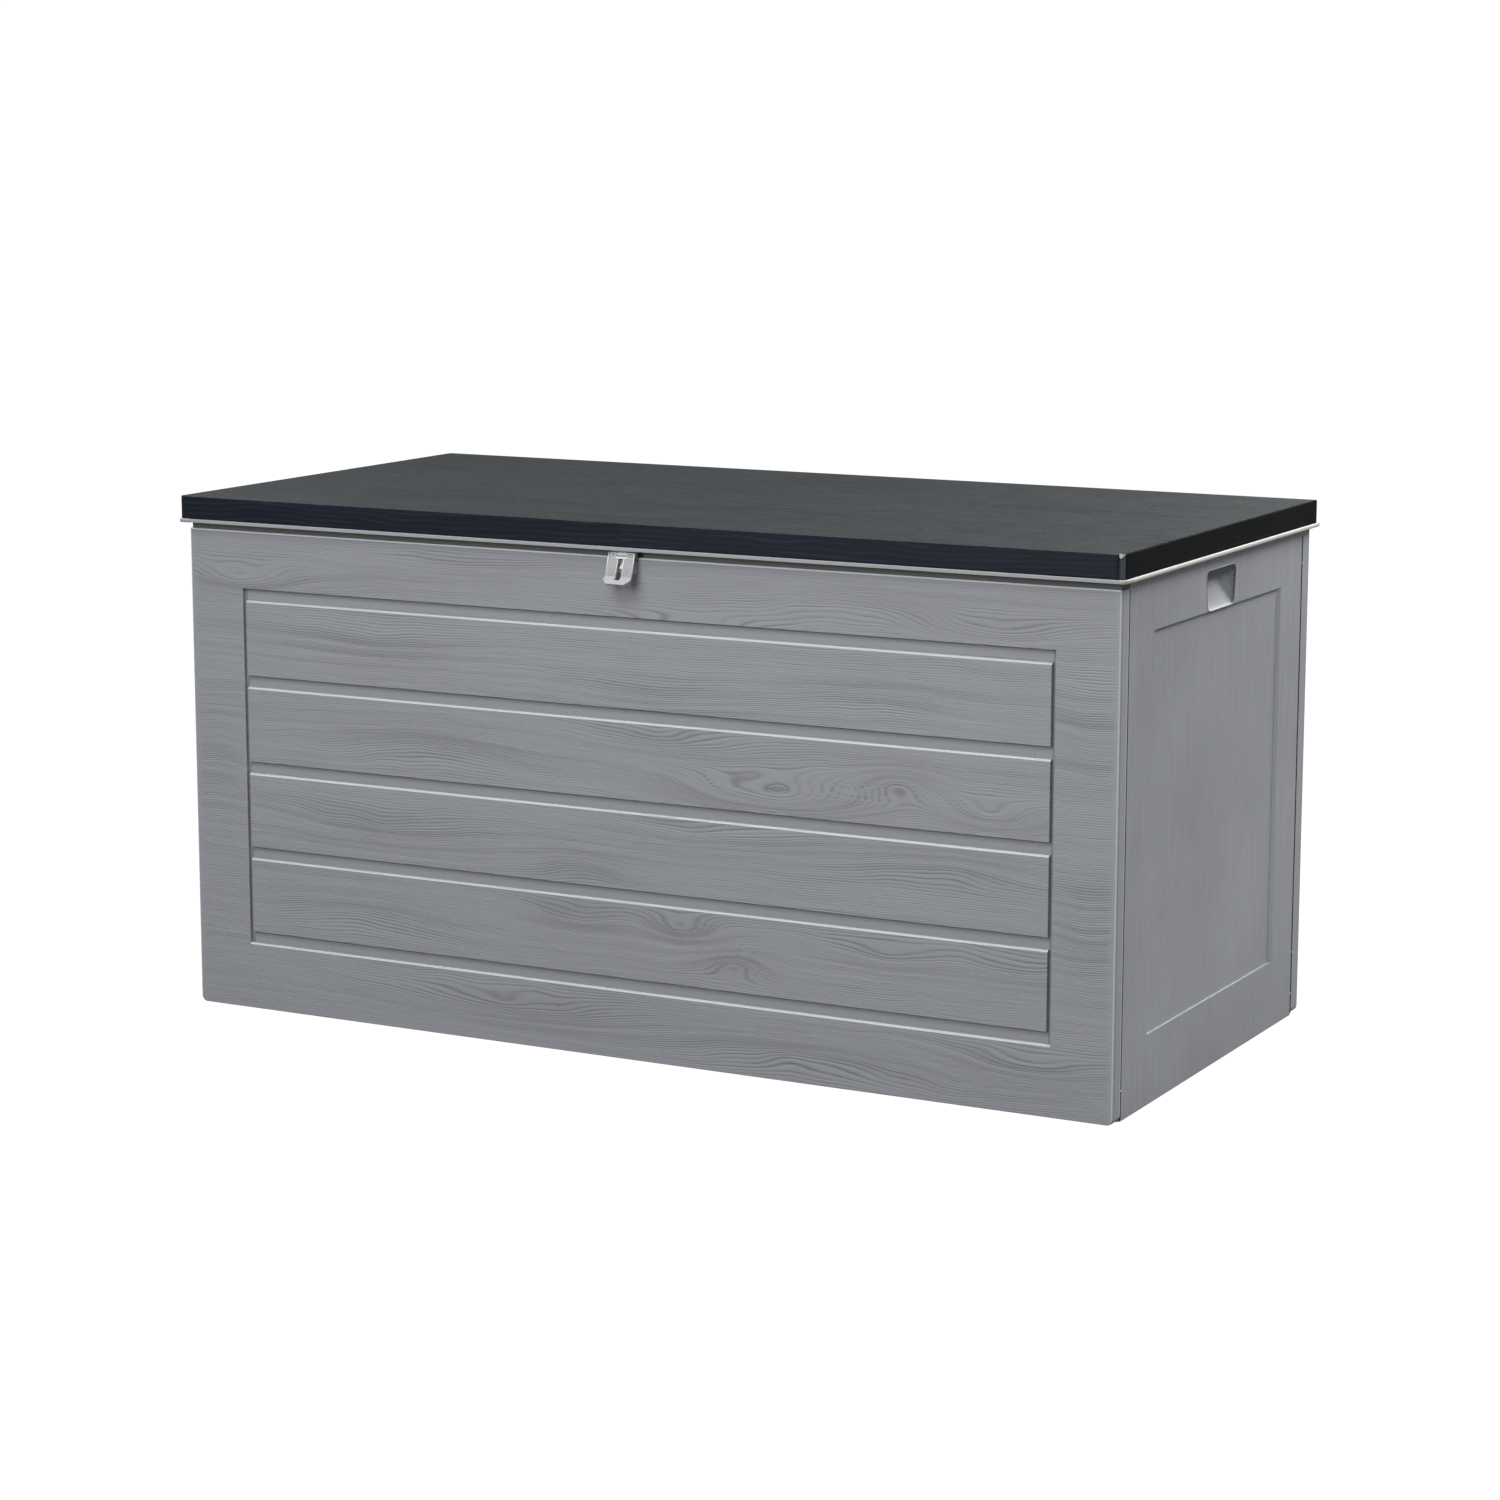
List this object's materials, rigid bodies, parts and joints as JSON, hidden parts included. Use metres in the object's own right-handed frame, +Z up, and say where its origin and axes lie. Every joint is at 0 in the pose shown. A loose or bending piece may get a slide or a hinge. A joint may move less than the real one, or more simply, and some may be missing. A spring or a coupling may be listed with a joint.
{
  "type": "outdoor cushion box",
  "caption": "Free-standing moulded plastic storage box with grooved front boards, pocket handles, hinged lid on gas struts and a snap hasp.",
  "frame": {"origin": "on the ground under the middle of the walls, on the foot in the middle of the floor", "axes": "+X along the front to the right, -Y out of the front face, +Z up"},
  "size_m": [1.481, 0.7547, 0.7552],
  "materials": {
    "wall_grey": "wood-grain moulded polypropylene, satin",
    "floor_grey": "plain moulded polypropylene",
    "lid_black": "wood-grain moulded polypropylene, satin",
    "liner_pale": "smooth moulded polypropylene",
    "latch_pale": "smooth moulded plastic",
    "peg_white": "smooth moulded plastic",
    "zinc_steel": "zinc plated",
    "strut_black": "black paint, satin",
    "rod_chrome": "polished",
    "socket_black": "glass-filled plastic"
  },
  "bodies": {
    "box": {"back_panel": "wall_grey", "corner_pegs_back_left": "peg_white", "corner_pegs_back_right": "peg_white", "corner_pegs_front_left": "peg_white", "corner_pegs_front_right": "peg_white", "floor_panel": "floor_grey", "front_panel": "wall_grey", "hinge_lower_leaf_left": "zinc_steel", "hinge_lower_leaf_middle": "zinc_steel", "hinge_lower_leaf_right": "zinc_steel", "hinge_pin_left": "zinc_steel", "hinge_pin_middle": "zinc_steel", "hinge_pin_right": "zinc_steel", "hinge_wall_screws": "zinc_steel", "latch_staple": "latch_pale", "latch_staple_screws": "zinc_steel", "left_panel": "wall_grey", "right_panel": "wall_grey", "strut_foot_bracket_left": "zinc_steel", "strut_foot_bracket_right": "zinc_steel", "strut_foot_screws_left": "zinc_steel", "strut_foot_screws_right": "zinc_steel"},
    "lid": {"lid_shell": "lid_black", "lid_liner": "liner_pale", "lid_screws": "zinc_steel", "hinge_lid_screws": "zinc_steel", "latch_bracket": "latch_pale", "latch_bracket_screws": "zinc_steel", "latch_pin": "zinc_steel", "strut_head_screws": "zinc_steel", "hinge_upper_leaf_left": "zinc_steel", "hinge_upper_leaf_middle": "zinc_steel", "hinge_upper_leaf_right": "zinc_steel", "strut_head_bracket_left": "zinc_steel", "strut_head_bracket_right": "zinc_steel"},
    "hasp": {"latch_hasp": "latch_pale"},
    "strut_rod_left": {"strut_rod_left": "rod_chrome", "strut_piston_left": "socket_black", "strut_rod_eye_left": "socket_black"},
    "strut_tube_left": {"strut_tube_left": "strut_black", "strut_gland_left": "socket_black", "strut_tube_eye_left": "socket_black"},
    "strut_rod_right": {"strut_rod_right": "rod_chrome", "strut_piston_right": "socket_black", "strut_rod_eye_right": "socket_black"},
    "strut_tube_right": {"strut_tube_right": "strut_black", "strut_gland_right": "socket_black", "strut_tube_eye_right": "socket_black"}
  },
  "joints": [
    {"name": "lid_hinge", "type": "hinge", "parent": "box", "child": "lid", "pos_m": [0, 0.362, 0.708], "axis": [-1, 0, 0], "range_deg": [0, 85]},
    {"name": "hasp_hinge", "type": "hinge", "parent": "lid", "child": "hasp", "pos_m": [0, -0.3625, 0.7113], "axis": [-1, 0, 0], "range_deg": [-19, 80]},
    {"name": "strut_foot_left", "type": "hinge", "parent": "box", "child": "strut_rod_left", "pos_m": [-0.69, 0.29226, 0.48883], "axis": [-1, 0, 0], "range_deg": [0, 42.5]},
    {"name": "strut_head_left", "type": "hinge", "parent": "lid", "child": "strut_tube_left", "pos_m": [-0.69, 0.13219, 0.69857], "axis": [-1, 0, 0], "range_deg": [-42.5, 0]},
    {"name": "strut_foot_right", "type": "hinge", "parent": "box", "child": "strut_rod_right", "pos_m": [0.69, 0.29226, 0.48883], "axis": [-1, 0, 0], "range_deg": [0, 42.5]},
    {"name": "strut_head_right", "type": "hinge", "parent": "lid", "child": "strut_tube_right", "pos_m": [0.69, 0.13219, 0.69857], "axis": [-1, 0, 0], "range_deg": [-42.5, 0]}
  ],
  "couplings": [
    {"joint": "strut_foot_left", "follows": "lid_hinge", "ratio": 0.5},
    {"joint": "strut_head_left", "follows": "lid_hinge", "ratio": -0.5},
    {"joint": "strut_foot_right", "follows": "lid_hinge", "ratio": 0.5},
    {"joint": "strut_head_right", "follows": "lid_hinge", "ratio": -0.5}
  ]
}
